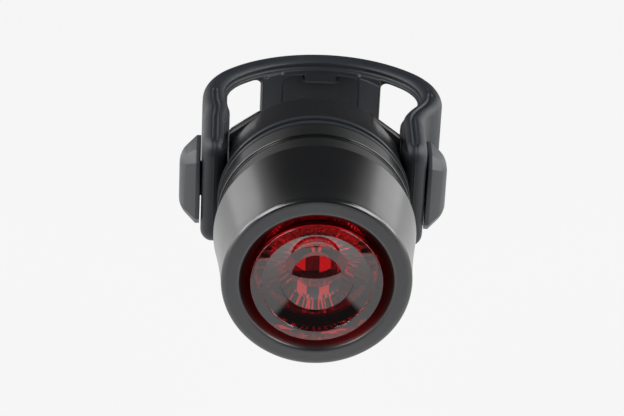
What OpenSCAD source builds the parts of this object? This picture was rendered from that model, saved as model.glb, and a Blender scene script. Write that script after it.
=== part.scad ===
// Bike rear light: a screw-off metal head with a push lens, a moulded base and a rubber post strap.
// Millimetres. The seatpost's axis is Z, at the origin, and the lens faces -Y.
// Lengths called "a" run back along the light's axis from the front face of the head.

/* [Cells] */
// Diameter of a coin cell
cell_d = 20; // [18:0.5:24]
// Thickness of a coin cell
cell_t = 3.2; // [2.5:0.1:5]
// Room around the cells in their tray
cell_gap = 0.15; // [0.1:0.05:0.4]

/* [Tray and board] */
// Wall of the battery tray
tray_wall = 1; // [0.8:0.1:1.6]
// Floor of the battery tray, behind the board
tray_floor = 1; // [0.9:0.1:2]
// Thickness of the sheet metal contacts
contact_t = 0.3; // [0.2:0.05:0.5]
// Width of the contact strips
contact_w = 5; // [3:0.5:7]
// Diameter of the pin that joins the front contact to the board
front_pin_d = 1; // [0.8:0.1:1.2]
// Distance of that pin from the light's axis
front_pin_x = 6; // [5:0.1:6.2]
// Width of the rear contact's arm
arm_w = 2; // [1.4:0.1:2.6]
// Width of the keys that stop the tray from turning
key_w = 2; // [1.2:0.1:3]
// How far the keys stand out of the tray
key_out = 0.85; // [0.5:0.05:1]
// Length of the keys
key_len = 4.2; // [3:0.1:4.2]
// Thickness of the circuit board
board_t = 1; // [0.8:0.1:1.6]
// Diameter of the board screws' shanks
screw_d = 1.6; // [1.2:0.1:2]
// Diameter of the board screws' heads
screw_head_d = 2.8; // [2.4:0.1:3.2]
// Thickness of the board screws' heads
screw_head_t = 0.6; // [0.4:0.1:0.9]
// Distance of the screws from the light's axis
screw_r = 8.4; // [7.8:0.1:9]

/* [LED and switches] */
// Side of the LED's square base
led_side = 3.4; // [2.4:0.1:3.5]
// Height of the LED's base
led_base_t = 0.8; // [0.5:0.1:1.2]
// Diameter of the LED's dome
led_dome_d = 2.6; // [1.8:0.1:2.8]
// Width of a tact switch across its radius
switch_w = 3.6; // [3:0.1:4]
// Size of a tact switch along its radius
switch_d = 3.2; // [2.6:0.1:3.3]
// Height of a tact switch's body
switch_h = 1.4; // [1.2:0.1:1.6]
// Distance of the switches from the light's axis
switch_r = 8.5; // [8.4:0.1:8.6]
// Diameter of the plungers
plunger_d = 1.5; // [1:0.1:1.8]
// How far the plungers stand out of the switches
plunger_out = 0.7; // [0.7:0.05:0.9]

// Distance of the chips from the light's axis
chips_r = 6.2; // [5.8:0.1:6.6]
// Side of the driver chip
driver_w = 2.6; // [2:0.1:3]
// Height of the driver chip
driver_h = 0.8; // [0.5:0.1:1]
// Length of a small chip
chip_l = 1.6; // [1:0.1:2]
// Width of a small chip
chip_w = 0.8; // [0.5:0.1:1]
// Height of a small chip
chip_h = 0.55; // [0.3:0.05:0.7]

/* [Lens] */
// Diameter of the lens where it shows
lens_d = 17.9; // [16.5:0.1:18.4]
// Width of the flat rim around the dish
rim_w = 1.5; // [0.8:0.05:2]
// Drop from the rim to the start of the dish
rim_step = 0.25; // [0.1:0.05:0.5]
// Slope of the dish
dish_angle = 29.4; // [20:0.2:40]
// Width of the dish's flat floor around the middle dome
floor_w = 1.6; // [1:0.1:2.6]
// Diameter of the middle dome
dome_d = 6.9; // [6:0.1:8]
// Height of the middle dome above the bottom of the dish
dome_h = 0.6; // [0.4:0.05:1.3]
// How far the lens flange stands out past the part that shows
flange_out = 1.35; // [1.2:0.05:1.5]
// Thickness of the lens flange
flange_t = 1.5; // [1.2:0.1:2]
// Length of the collimating cone behind the flange
cone_len = 3.2; // [2.8:0.1:4]
// Diameter of the cone at its base, behind the flange
cone_base_d = 16.4; // [15:0.1:16.5]
// Diameter of the cone at its tip
cone_tip_d = 8.4; // [7:0.1:9]
// Number of flutes around the cone
flute_count = 36; // [24:1:48]
// Depth of the flutes
flute_depth = 0.35; // [0.2:0.05:0.5]
// Diameter of the hollow that the LED shines into
well_d = 5.2; // [5:0.1:5.6]
// Depth of that hollow
well_depth = 2.6; // [2.2:0.1:3]
// Travel of the lens when it is pressed
press_travel = 0.6; // [0.3:0.05:0.65]
// Thickness of the ring that holds the lens from behind
holder_t = 1; // [0.8:0.1:1.2]
// Width of each push leg
leg_w = 2.4; // [1.8:0.1:3]

/* [Head] */
// Depth of the recess around the lens, which narrows like a funnel
recess_depth = 2.4; // [1.8:0.1:3]
// Width of the open gap around the lens
recess_gap = 1.25; // [1:0.05:1.5]
// Rounding of the recess's front edge
recess_round = 0.6; // [0.2:0.05:0.8]
// Thickness of the lip that keeps the lens in
lip_t = 1; // [0.8:0.1:1.4]
// Thickness of the seal behind the lip
seal_t = 0.4; // [0.3:0.05:0.6]
// Length of the flared flank
flank_len = 13.2; // [12.6:0.1:14]
// How much the head narrows from the flank's rear edge to the front
flank_flare = 1.2; // [0.6:0.1:1.6]
// Rounding of the front edge
nose_round = 0.8; // [0.4:0.1:1.2]
// Drop from the flank's rear edge to the waist
waist_drop = 0.7; // [0.3:0.1:1]
// Length of the waist
waist_len = 4.2; // [3.6:0.1:5]
// Wall of the head at the waist
head_wall = 0.95; // [0.8:0.05:1.4]
// Step from the waist up to the rear collar
collar_step = 0.3; // [0.2:0.05:0.5]
// Length of the rear collar
collar_len = 3.1; // [2.6:0.1:4]

/* [Base] */
// Wall of the threaded spigot
spigot_wall = 0.9; // [0.9:0.05:1.2]
// Length of the two fine rings behind the seam
ring_len = 2.35; // [2:0.05:3]
// Depth of the grooves beside the rings
ring_groove = 0.35; // [0.2:0.05:0.5]
// Compressed length of the coil spring
spring_len = 3.4; // [3:0.1:4.5]
// Diameter of the spring's wire
spring_wire = 0.7; // [0.5:0.05:0.8]
// Mean diameter of the coil spring
spring_d = 14; // [12:0.5:18]
// Solid thickness between the spring's seat and the pad
seat_t = 5.4; // [5:0.1:8]
// Distance across the flats that the strap's arms lie on
flats_w = 24.4; // [23.6:0.1:25]
// How far in front of the post's axis the saddle's horns end
horn_reach = 5.4; // [4:0.1:6]
// Height of the saddle's horns at the flats, where they leave the round body
horn_h = 15.6; // [14:0.2:17]
// Slope of the horns' tops, which fall from the middle towards the flats
horn_slope = 37; // [30:1:42]
// Width of the horns' sloping tops
horn_in = 4; // [2:0.1:5]
// How much narrower the horns get towards their tips, on each side
horn_taper = 0.3; // [0.2:0.1:0.6]
// How far the horns' tips stand above and below the pad
horn_edge = 0.3; // [0.2:0.1:1]
// How far the round body runs back past the bottom of the saddle
body_past = 0.4; // [0:0.1:1.5]
// Thickness of the O-ring
o_ring_t = 0.8; // [0.6:0.05:0.85]

/* [Post and strap] */
// Diameter of the smallest post that the strap holds
post_d = 22.2; // [20:0.1:27.2]
// Thickness of the saddle's rubber pad
pad_t = 1; // [0.8:0.1:1.2]
// Height of the saddle's rubber pad
pad_h = 12; // [10:0.5:14]
// Diameter of the pegs that hold the pad
peg_d = 2; // [1.4:0.1:3]
// Length of the pegs behind the pad
peg_len = 1.6; // [1:0.1:2]
// Thickness of the strap
strap_t = 3.6; // [3:0.1:4.2]
// Height of the strap
strap_h = 17; // [14:0.5:20]
// Height of the rails above and below the windows
rail_h = 2.1; // [1.8:0.1:3.5]
// Length of the strap in front of its hooks
tab_len = 5.2; // [5:0.1:6]
// Gap between the strap's ends and the rings, for its swing
tab_clear = 1; // [0.8:0.1:1.6]
// Rounding of the strap's ends
tab_round = 2.6; // [2:0.1:4]
// Angle at which the arms spread
arm_spread = 24; // [10:1:26]
// Bend radius where the arms spread
spread_r = 9; // [7:0.5:18]
// Bend radius of the strap's corners
corner_r = 9.5; // [8:0.5:13]
// How far the strap's loop leans to the right when it hangs free
strap_lean = 1.4; // [0:0.1:1.5]
// Distance between the strap and a post that just fits
strap_slack = 0.3; // [0.2:0.05:1]
// Distance of the windows' front ends behind the start of the strap's corners
window_front = 0; // [0:0.1:3]
// Rounding of the windows' corners
window_round = 1.2; // [1:0.1:3]
// Distance between the middle pad's two ribs
rib_gap = 11.4; // [9:0.2:13]
// Width from the inner side of each rib to the window beside it
rib_w = 3.3; // [2.4:0.1:3.6]
// Step between a rib and the window beside it
rib_step = 0.2; // [0.1:0.05:0.5]
// Depth of the pocket between the ribs
pocket_depth = 0.8; // [0.4:0.1:1.4]
// How far the pocket stays inside the height of the windows
pocket_edge = 0.3; // [0.2:0.1:1]
// Width of the tongues that hang into the pocket
tongue_w = 5; // [3:0.2:7]
// Length of the tongues
tongue_len = 1.3; // [0.8:0.1:2]

/* [Hooks] */
// Diameter of the round stems that the strap hangs on
stem_d = 5; // [4:0.1:5.6]
// Thickness of the hooks
hook_t = 3; // [2.4:0.1:4]
// Height of a hook
hook_h = 12; // [9:0.5:13]
// Width of a hook
hook_w = 7.4; // [6:0.1:8]
// How far the hooks sit in front of their stems
hook_lead = 0.4; // [0:0.1:0.8]
// Size of the cut corners of a hook
hook_corner = 1.5; // [1:0.1:2.4]
// Slope of a hook's bevelled edges
hook_bevel = 2; // [1:0.1:2.4]
// Length of the slot behind the stem
slot_len = 3; // [1:0.1:3.5]

/* [Fits] */
// Gap around sliding pieces
slide_gap = 0.15; // [0.1:0.05:0.25]
// Gap between the spigot and the head, where the thread runs
thread_gap = 0.25; // [0.2:0.05:0.35]
// Gap between faces that turn past each other
face_gap = 0.1; // [0.05:0.05:0.2]
// Gap between the strap and what it lies beside
strap_gap = 0.2; // [0.1:0.05:0.4]
// Radial clearance of the strap's eyelets on their stems
stem_gap = 0.05; // [0.02:0.01:0.1]
// Clearance of pins in their holes
pin_gap = 0.05; // [0.02:0.01:0.1]

/* [Hidden] */
$fn = 96;
eps = 0.01;
over = 1;
arc_steps = 8;
tab_steps = 6;

// Radii, from the lens, switches and cells outwards
lens_r = lens_d / 2;
switch_out = switch_r + switch_d / 2;
flange_r = max(lens_r + flange_out, switch_out + slide_gap);
lens_bore_r = flange_r + slide_gap + face_gap;
cell_r = cell_d / 2;
tray_in = cell_r + cell_gap;
tray_r = max(tray_in + tray_wall, lens_bore_r);
spigot_in = tray_r + slide_gap;
spigot_r = spigot_in + spigot_wall;
thread_r = spigot_r + thread_gap;
waist_r = thread_r + head_wall;
collar_r = waist_r + collar_step;
head_r = waist_r + waist_drop;
nose_r = head_r - flank_flare;
face_r = nose_r - nose_round;
recess_r = lens_r + recess_gap;
lip_r = lens_r + slide_gap;
tray_bore_r = tray_r + slide_gap;
seal_groove_r = spigot_r + o_ring_t + face_gap;
dome_r = dome_d / 2;
cone_base_r = cone_base_d / 2;
cone_tip_r = cone_tip_d / 2;
holder_in = cone_base_r + slide_gap;
board_r = tray_r;

// Places along the axis, from the front face backwards
dish_start = rim_step;
dish_r = lens_r - rim_w;
floor_r = dome_r + floor_w;
dish_end = dish_start + (dish_r - floor_r) * tan(dish_angle);
lip_rear = recess_depth + lip_t;
flange_a = lip_rear + seal_t + face_gap;
flange_rear = flange_a + flange_t;
cone_tip_a = flange_rear + cone_len;
holder_rear = flange_rear + holder_t;
board_a = cone_tip_a + press_travel + led_base_t + face_gap;
switch_a = board_a - switch_h;
plunger_a = switch_a - plunger_out;
tray_a = board_a + board_t;
floor_a = tray_a + tray_floor;
cells_a = floor_a + contact_t;
cells_rear = cells_a + 2 * cell_t;
tray_rear = cells_rear + contact_t;
collar_a = flank_len + waist_len;
collar_rear = collar_a + collar_len;
spigot_a = flank_len + waist_drop;
ring_a = collar_rear + slide_gap;
ring_rear = ring_a + ring_len;
cavity_rear = tray_rear + spring_len;
pad_a = cavity_rear + seat_t;
post_r = post_d / 2;
pad_pocket_r = post_r + pad_t;
saddle_r = post_r + strap_slack;
front_to_post = pad_a + pad_t + post_r;
key_a = tray_rear - key_len;
arm_angle = 135;
driver_angle = 122;
chip_angles = [36, 58, 228, 312];

// Strap, seen from above
strap_half = strap_t / 2;
arm_x = flats_w / 2 + strap_gap + strap_half;
stem_y = ring_rear + tab_clear + tab_len - front_to_post;
bend_x = arm_x + spread_r * (1 - cos(arm_spread));
corner_x = bend_x - corner_r * cos(arm_spread);
back_r = corner_r + corner_x / cos(45);
back_mid = post_r + strap_slack + strap_half;
back_y = back_mid - back_r;
corner_y = back_y + (back_r - corner_r) * sin(45);
bend_y = corner_y - corner_r * sin(arm_spread);
arm_end_y = bend_y - spread_r * sin(arm_spread);
tab_front_y = stem_y - tab_len;
lean_y = stem_y - hook_lead + hook_w / 2;
window_y = corner_y + window_front;
tip_share = 0.03;
full_size = [strap_half, strap_h / 2];
window_h = strap_h - 2 * rail_h;
window_x = rib_gap / 2 + rib_w;
horn_y = -horn_reach;
body_rear = front_to_post - post_r + body_past;
hook_x = flats_w / 2 + strap_t + 2 * strap_gap;
base_r = collar_r - collar_step / 2;

// Points on an arc in a profile, from angle a0 to a1
function arc(cx, cy, r, a0, a1, n = arc_steps) =
    [for (i = [0:n]) let (t = a0 + (a1 - a0) * i / n) [cx + r * cos(t), cy + r * sin(t)]];

// Radius of the head's flank, which curves out towards its rear edge
function flank(t) = nose_r + flank_flare * (t + t * t) / 2;

// Turns local +Z into the light's axis, +Y, with its zero at the head's front face
module on_axis() {
    translate([0, -front_to_post, 0]) rotate([-90, 0, 0]) children();
}

// A ring around the light's axis
module ring(r_out, r_in, a0, a1) {
    translate([0, 0, a0]) difference() {
        cylinder(r = r_out, h = a1 - a0);
        translate([0, 0, -over]) cylinder(r = r_in, h = a1 - a0 + 2 * over);
    }
}

// A block on the light's axis, centred at x and y
module block(size_x, size_y, a0, a1, x = 0, y = 0) {
    translate([x - size_x / 2, y - size_y / 2, a0]) cube([size_x, size_y, a1 - a0]);
}

// Copies its children on the left and on the right of the light
module both_sides() {
    children();
    mirror([1, 0, 0]) children();
}

module head_barrel() {
    flank_points = [for (i = [1:arc_steps]) let (t = i / arc_steps)
        [flank(t), nose_round + (flank_len - nose_round) * t]];
    outside = concat(
        arc(face_r, nose_round, nose_round, -90, 0),
        flank_points,
        [[waist_r, spigot_a], [waist_r, collar_a], [collar_r, collar_a], [collar_r, collar_rear]]);
    inside = concat(
        [[seal_groove_r, collar_rear], [seal_groove_r, collar_rear - o_ring_t - face_gap],
         [thread_r, collar_rear - o_ring_t - face_gap], [thread_r, spigot_a - slide_gap],
         [tray_bore_r, spigot_a - slide_gap], [tray_bore_r, board_a - face_gap],
         [lens_bore_r, board_a - face_gap], [lens_bore_r, lip_rear],
         [lip_r, lip_rear], [lip_r, recess_depth]],
        arc(recess_r + recess_round, recess_round, recess_round, 180, 270));
    color([0.1, 0.1, 0.11]) on_axis() rotate_extrude() polygon(concat(outside, inside));
}

module lens_seal() {
    color([0.05, 0.05, 0.05]) on_axis()
        ring(lens_bore_r - face_gap, lip_r, lip_rear, lip_rear + seal_t);
}

module lens() {
    cap_r = (dome_r * dome_r + dome_h * dome_h) / (2 * dome_h);
    cap_angle = asin(dome_r / cap_r);
    edge = 0.2;
    front = concat(
        arc(0, dish_end - dome_h + cap_r, cap_r, -90, -90 + cap_angle),
        [[floor_r, dish_end], [dish_r, dish_start], [dish_r, 0], [lens_r - edge, 0], [lens_r, edge],
         [lens_r, flange_a]]);
    rear = [[flange_r, flange_a], [flange_r, flange_rear], [0, flange_rear]];
    color([0.75, 0.05, 0.07, 0.6]) on_axis() difference() {
        union() {
            rotate_extrude() polygon(concat(front, rear));
            collimator();
        }
        translate([0, 0, cone_tip_a - well_depth]) cylinder(d = well_d, h = well_depth + over);
    }
}

// The lens's cone, fluted all around
module collimator() {
    crests = 2 * flute_count;
    outline = [for (i = [0:crests - 1]) let (t = 360 * i / crests,
        r = cone_base_r - (i % 2) * flute_depth) [r * cos(t), r * sin(t)]];
    translate([0, 0, flange_rear - eps])
        linear_extrude(height = cone_len + eps, scale = cone_tip_r / cone_base_r) polygon(outline);
}

module lens_holder() {
    leg_in = switch_r - plunger_d / 2;
    leg_out = flange_r - slide_gap;
    color([0.12, 0.12, 0.12]) on_axis() {
        ring(flange_r, holder_in, flange_rear, holder_rear);
        both_sides() block(leg_out - leg_in, leg_w, holder_rear - eps, plunger_a, (leg_in + leg_out) / 2);
    }
}

module switch_plungers() {
    plunger_len = plunger_out + press_travel / 2;
    color([0.85, 0.84, 0.8]) on_axis() both_sides()
        translate([switch_r, 0, plunger_a]) cylinder(d = plunger_d, h = plunger_len);
}

module switch_bodies() {
    hole_depth = press_travel * 1.5 + 2 * pin_gap;
    color([0.2, 0.2, 0.22]) on_axis() both_sides() difference() {
        block(switch_d, switch_w, switch_a, board_a, switch_r);
        translate([switch_r, 0, switch_a - over])
            cylinder(d = plunger_d + 2 * pin_gap, h = hole_depth + over);
    }
}

module led_board() {
    color([0.9, 0.9, 0.88]) on_axis() difference() {
        translate([0, 0, board_a]) cylinder(r = board_r, h = board_t);
        screw_holes(screw_d + 2 * pin_gap, board_a - over, tray_a + over);
        front_pin_hole(board_a - over, tray_a + over);
        arm_slot(board_a - over, tray_a + over);
    }
}

module led_package() {
    color([0.95, 0.93, 0.88]) on_axis() block(led_side, led_side, board_a - led_base_t, board_a);
}

module led_dome() {
    dome_base = board_a - led_base_t;
    profile = concat([[0, dome_base]], arc(0, dome_base, led_dome_d / 2, 0, -90));
    color([0.95, 0.8, 0.3]) on_axis() rotate_extrude() polygon(profile);
}

module driver_chip() {
    color([0.08, 0.08, 0.09]) on_axis() rotate(driver_angle)
        block(driver_w, driver_w, board_a - driver_h, board_a, chips_r);
}

module board_chips() {
    color([0.35, 0.3, 0.25]) on_axis() for (t = chip_angles) rotate(t)
        block(chip_w, chip_l, board_a - chip_h, board_a, chips_r);
}

// Through holes for the board's two screws
module screw_holes(d, a0, a1) {
    for (side = [-1, 1]) translate([0, side * screw_r, a0]) cylinder(d = d, h = a1 - a0);
}

module board_screws() {
    color([0.7, 0.7, 0.72]) on_axis() for (side = [-1, 1]) translate([0, side * screw_r, 0]) {
        translate([0, 0, board_a - screw_head_t]) cylinder(d = screw_head_d, h = screw_head_t);
        translate([0, 0, board_a - eps]) cylinder(d = screw_d, h = board_t + tray_floor + eps);
    }
}

// Where the front contact's pin goes through the tray and the board
module front_pin_hole(a0, a1) {
    translate([front_pin_x, 0, a0]) cylinder(d = front_pin_d + 2 * pin_gap, h = a1 - a0);
}

// Where the rear contact's arm runs forward along the tray, at the lower left
module arm_slot(a0, a1) {
    rotate(arm_angle)
        block(tray_wall + 2 * over, arm_w + 2 * pin_gap, a0, a1, tray_in + tray_wall / 2);
}

module battery_tray() {
    color([0.16, 0.16, 0.17]) on_axis() difference() {
        union() {
            translate([0, 0, tray_a]) cylinder(r = tray_r, h = tray_rear - tray_a);
            for (side = [-1, 1])
                block(2 * key_out, key_w, key_a, tray_rear, side * tray_r);
        }
        translate([0, 0, floor_a]) cylinder(r = tray_in, h = tray_rear - floor_a + over);
        screw_holes(screw_d + 2 * pin_gap, tray_a - over, floor_a + over);
        front_pin_hole(tray_a - over, floor_a + over);
        arm_slot(tray_a - over, tray_rear + over);
    }
}

// One coin cell, with its smaller negative cap to the front
module cell(a) {
    cap_h = 0.35;
    cap_in = 1.2;
    edge = 0.25;
    profile = [[0, 0], [cell_r - cap_in, 0], [cell_r - cap_in, cap_h], [cell_r - edge, cap_h],
               [cell_r, cap_h + edge], [cell_r, cell_t - edge], [cell_r - edge, cell_t], [0, cell_t]];
    on_axis() translate([0, 0, a]) rotate_extrude() polygon(profile);
}

module cell_front() {
    color([0.75, 0.76, 0.78]) cell(cells_a);
}

module cell_rear() {
    color([0.75, 0.76, 0.78]) cell(cells_a + cell_t);
}

module front_contact() {
    color([0.8, 0.75, 0.55]) on_axis() {
        block(2 * front_pin_x + contact_w / 2, contact_w, floor_a, cells_a);
        translate([front_pin_x, 0, board_a]) cylinder(d = front_pin_d, h = floor_a - board_a + eps);
    }
}

module rear_contact() {
    strip_half = cell_r - contact_w / 4;
    arm_r = tray_in + tray_wall / 2;
    color([0.8, 0.75, 0.55]) on_axis() rotate(arm_angle) {
        block(2 * strip_half, contact_w, cells_rear, tray_rear);
        block(arm_r, arm_w, cells_rear, tray_rear, arm_r / 2);
        block(contact_t, arm_w, board_a, tray_rear, arm_r);
    }
}

// A coil of round wire, swept as one tube
module return_spring() {
    turns = 2.5;
    ring_sides = 8;
    rings = 40;
    wire_r = spring_wire / 2;
    a0 = tray_rear + wire_r;
    rise = spring_len - spring_wire;
    points = [for (i = [0:rings]) for (j = [0:ring_sides - 1])
        let (t = 360 * turns * i / rings, u = 360 * j / ring_sides, r = spring_d / 2 + wire_r * cos(u))
        [r * cos(t), r * sin(t), a0 + rise * i / rings + wire_r * sin(u)]];
    sides = [for (i = [0:rings - 1]) for (j = [0:ring_sides - 1])
        let (k = (j + 1) % ring_sides, b = i * ring_sides, c = b + ring_sides)
        each [[b + j, c + k, c + j], [b + j, b + k, c + k]]];
    last = rings * ring_sides;
    caps = [for (j = [1:ring_sides - 2]) each [[0, j + 1, j], [last, last + j, last + j + 1]]];
    color([0.7, 0.7, 0.72]) on_axis() polyhedron(points = points, faces = concat(sides, caps));
}

module o_ring() {
    color([0.05, 0.05, 0.05]) on_axis() translate([0, 0, ring_a - o_ring_t / 2])
        rotate_extrude() translate([spigot_r + o_ring_t / 2, 0]) circle(d = o_ring_t, $fn = 32);
}

// The base's turned outline: spigot, two fine rings and the body, with the spring's cavity
module base_turned(body_rear) {
    ring_w = ring_len / 3;
    groove_r = collar_r - ring_groove;
    edge = 0.5;
    profile = [[spigot_in, spigot_a], [spigot_r, spigot_a], [spigot_r, ring_a],
               [collar_r, ring_a], [collar_r, ring_a + ring_w],
               [groove_r, ring_a + ring_w], [groove_r, ring_a + 2 * ring_w],
               [collar_r, ring_a + 2 * ring_w], [collar_r, ring_rear], [base_r, ring_rear],
               [base_r, body_rear - edge], [base_r - edge, body_rear],
               [0, body_rear], [0, cavity_rear], [spigot_in, cavity_rear]];
    rotate_extrude() polygon(profile);
}

// One hook: a round stem and a plate with bevelled edges, standing out along +X
module hook() {
    plate_edge = 0.6;
    stem_len = strap_t + 2 * strap_gap;
    face_w = hook_w - 2 * hook_bevel;
    face_h = hook_h - 2 * hook_bevel;
    translate([0, stem_y, 0]) rotate([90, 0, 90]) {
        translate([0, 0, flats_w / 2 - over]) cylinder(d = stem_d, h = stem_len + over + eps);
        translate([-hook_lead, 0, hook_x]) hull() {
            hook_plate(hook_w, hook_h, hook_corner, plate_edge);
            translate([0, 0, hook_t - eps]) hook_plate(face_w, face_h, hook_corner / 2, eps);
        }
    }
}

// A plate with its four corners cut off
module hook_plate(w, h, cut, t) {
    x = w / 2;
    y = h / 2;
    linear_extrude(height = t) polygon([[x - cut, -y], [x, cut - y], [x, y - cut], [x - cut, y],
                                        [cut - x, y], [-x, y - cut], [-x, cut - y], [cut - x, -y]]);
}

module base_body() {
    color([0.09, 0.09, 0.1]) {
        difference() {
            on_axis() {
                base_turned(body_rear);
                horns();
            }
            both_sides() side_flat();
            cylinder(r = saddle_r, h = 4 * base_r, center = true);
            cylinder(r = pad_pocket_r, h = pad_h + 2 * pin_gap, center = true);
            on_axis() for (side = [-1, 1])
                block(2 * key_out + slide_gap, key_w + 2 * slide_gap, spigot_a - over, ring_a - o_ring_t,
                      side * spigot_in);
            pad_pegs(peg_d + 2 * pin_gap, peg_len + pin_gap);
        }
        both_sides() hook();
    }
}

// The two wings that reach back around the post, and fall towards their tips
module horns() {
    root_x = flats_w / 2;
    tip_x = root_x - horn_taper;
    pad_x = sqrt(pow(pad_pocket_r, 2) - pow(horn_y, 2));
    tip_z = pad_h / 2 + horn_edge - (tip_x - pad_x) * tan(horn_slope);
    hull() {
        horn_slice(pad_a, root_x, horn_h / 2);
        horn_slice(body_rear, root_x, horn_h / 2);
        horn_slice(front_to_post + horn_y - eps, tip_x, tip_z);
    }
}

// A thin slice across both horns: half of its width, and half of its height at the flats
module horn_slice(a, x, z) {
    top = z + horn_in * tan(horn_slope);
    translate([0, 0, a]) linear_extrude(height = eps)
        polygon([[x, -z], [x, z], [x - horn_in, top], [horn_in - x, top],
                 [-x, z], [-x, -z], [horn_in - x, -top], [x - horn_in, -top]]);
}

// What is cut off the base's right side, behind the rings, to make room for the strap's arm
module side_flat() {
    translate([flats_w / 2, ring_rear - front_to_post, -base_r])
        cube([base_r, front_to_post, 2 * base_r]);
}

// Pegs that hold the pad in the base
module pad_pegs(d, length) {
    for (side = [-1, 1]) translate([0, -pad_pocket_r + pad_t / 2, side * pad_h / 4]) rotate([90, 0, 0])
        cylinder(d = d, h = length + pad_t / 2);
}

module saddle_pad() {
    color([0.16, 0.17, 0.18]) {
        intersection() {
            difference() {
                cylinder(r = pad_pocket_r, h = pad_h, center = true);
                cylinder(r = post_r, h = pad_h + over, center = true);
            }
            translate([0, horn_y - pad_pocket_r, 0])
                cube([4 * post_r, 2 * pad_pocket_r, 2 * pad_h], center = true);
        }
        pad_pegs(peg_d, peg_len);
    }
}

// How far a rounded end has opened at distance d from its tip, from nearly 0 to 1
function opening(d, r) = d >= r ? 1 : sqrt(1 - pow(1 - max(d / r, tip_share), 2));

// Half of the strap's thickness and half of its height, at distance d from the end of the tab
function strap_size(d) = [strap_half * opening(d, strap_half),
                          strap_h / 2 - tab_round * (1 - opening(d, tab_round))];

// The strap's middle line on the right, from the tab to the back: x, y, heading and size
function strap_path() = concat(
    [for (i = [0:tab_steps]) let (d = tab_round * (1 - cos(90 * i / tab_steps)))
        [arm_x, tab_front_y + d, 0, strap_size(d)]],
    [for (i = [0:4]) let (t = arm_spread * i / 4)
        [arm_x + spread_r * (1 - cos(t)), arm_end_y + spread_r * sin(t), t, full_size]],
    [for (i = [1:arc_steps]) let (t = arm_spread - (arm_spread + 45) * i / arc_steps)
        [corner_x + corner_r * cos(t), corner_y - corner_r * sin(t), t, full_size]],
    [for (i = [1:arc_steps]) let (t = -45 - 45 * i / arc_steps)
        [back_r * cos(t), back_y - back_r * sin(t), t, full_size]]);

// A cross-section with fully round edges: distance outwards and height
function strap_section(size) = let (w = size[0], h = size[1] - size[0], n = arc_steps) concat(
    [for (i = [0:n]) [w * cos(180 * i / n), h + w * sin(180 * i / n)]],
    [for (i = [0:n]) [-w * cos(180 * i / n), -h - w * sin(180 * i / n)]]);

// How far the strap leans over at y: not at all beside the hooks, fully from the windows on
function lean(y) = let (t = min(max((y - lean_y) / (window_y - lean_y), 0), 1))
    strap_lean * t * t * (3 - 2 * t);

// The cross-section set across the middle line at one place, on the right or on the left
function strap_ring(place, side) = [for (p = strap_section(place[3]))
    let (y = place[1] - p[0] * sin(place[2]))
        [side * (place[0] + p[0] * cos(place[2])) + lean(y), y, p[1]]];

// The plain band, swept from tab to tab
module strap_band() {
    path = strap_path();
    n = len(path);
    rings = concat([for (i = [0:n - 1]) strap_ring(path[i], 1)],
                   [for (i = [n - 2:-1:0]) strap_ring(path[i], -1)]);
    m = len(rings[0]);
    walls = [for (i = [0:len(rings) - 2]) for (j = [0:m - 1])
        let (k = (j + 1) % m, b = i * m, c = b + m)
        each [[b + j, c + k, c + j], [b + j, b + k, c + k]]];
    last = (len(rings) - 1) * m;
    caps = [for (j = [1:m - 2]) each [[0, j + 1, j], [last, last + j, last + j + 1]]];
    polyhedron(points = [for (r = rings) each r], faces = concat(walls, caps));
}

// A window's cutter, which goes round the strap's corner: one hole through the back, one through the arm
module window_cut() {
    reach = arm_x + spread_r - window_x;
    back_out = back_mid + strap_t;
    side_w = 2 * window_round + over;
    translate([window_x + reach / 2, back_out, 0]) rotate([90, 0, 0])
        rounded_cut(reach, window_h, back_out - window_y - window_round);
    translate([window_x, window_y + side_w / 2, 0]) rotate([90, 0, 90])
        rounded_cut(side_w, window_h, reach);
}

// A hole of the given width and height with round corners, and its depth
module rounded_cut(w, h, depth) {
    wide = w / 2 - window_round;
    tall = h / 2 - window_round;
    outline = concat(arc(wide, tall, window_round, 0, 90), arc(-wide, tall, window_round, 90, 180),
                     arc(-wide, -tall, window_round, 180, 270), arc(wide, -tall, window_round, 270, 360));
    linear_extrude(height = depth) polygon(outline);
}

// The eyelet that hangs on a hook's stem, with room behind it to stretch over
module eyelet_cut() {
    eyelet_d = stem_d + 2 * stem_gap;
    depth = strap_t + 2 * over;
    for (y = [0, slot_len]) translate([arm_x, stem_y + y, 0]) rotate([0, 90, 0])
        cylinder(d = eyelet_d, h = depth, center = true);
    translate([arm_x, stem_y + slot_len / 2, 0]) cube([depth, slot_len, eyelet_d], center = true);
}

// The two ribs of the middle pad, whose faces bear on the post
module pad_ribs() {
    rib_h = strap_h - strap_t;
    difference() {
        translate([strap_lean, 0, 0]) both_sides() intersection() {
            translate([rib_gap / 2, 0, -rib_h / 2]) cube([rib_w - rib_step, back_mid, rib_h]);
            difference() {
                translate([0, back_y, 0]) cylinder(r = back_r, h = strap_h, center = true);
                cylinder(r = post_r, h = strap_h + over, center = true);
            }
        }
        cylinder(r = post_r, h = strap_h + over, center = true);
    }
}

// The shallow pocket between the ribs, with a tongue hanging into it from each rail
module pad_pocket() {
    wide = rib_gap / 2;
    tall = window_h / 2 - pocket_edge;
    floor_r = back_r - strap_half + pocket_depth;
    intersection() {
        difference() {
            translate([-wide, 0, -tall]) cube([2 * wide, back_mid, 2 * tall]);
            for (side = [-1, 1]) translate([0, 0, side * tall])
                cube([tongue_w, 4 * back_mid, 2 * tongue_len], center = true);
        }
        translate([0, back_y, 0]) cylinder(r = floor_r, h = strap_h, center = true);
    }
}

module strap() {
    color([0.16, 0.18, 0.2]) difference() {
        union() {
            difference() {
                strap_band();
                translate([strap_lean, 0, 0]) {
                    both_sides() window_cut();
                    pad_pocket();
                }
            }
            pad_ribs();
        }
        both_sides() eyelet_cut();
    }
}

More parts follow.
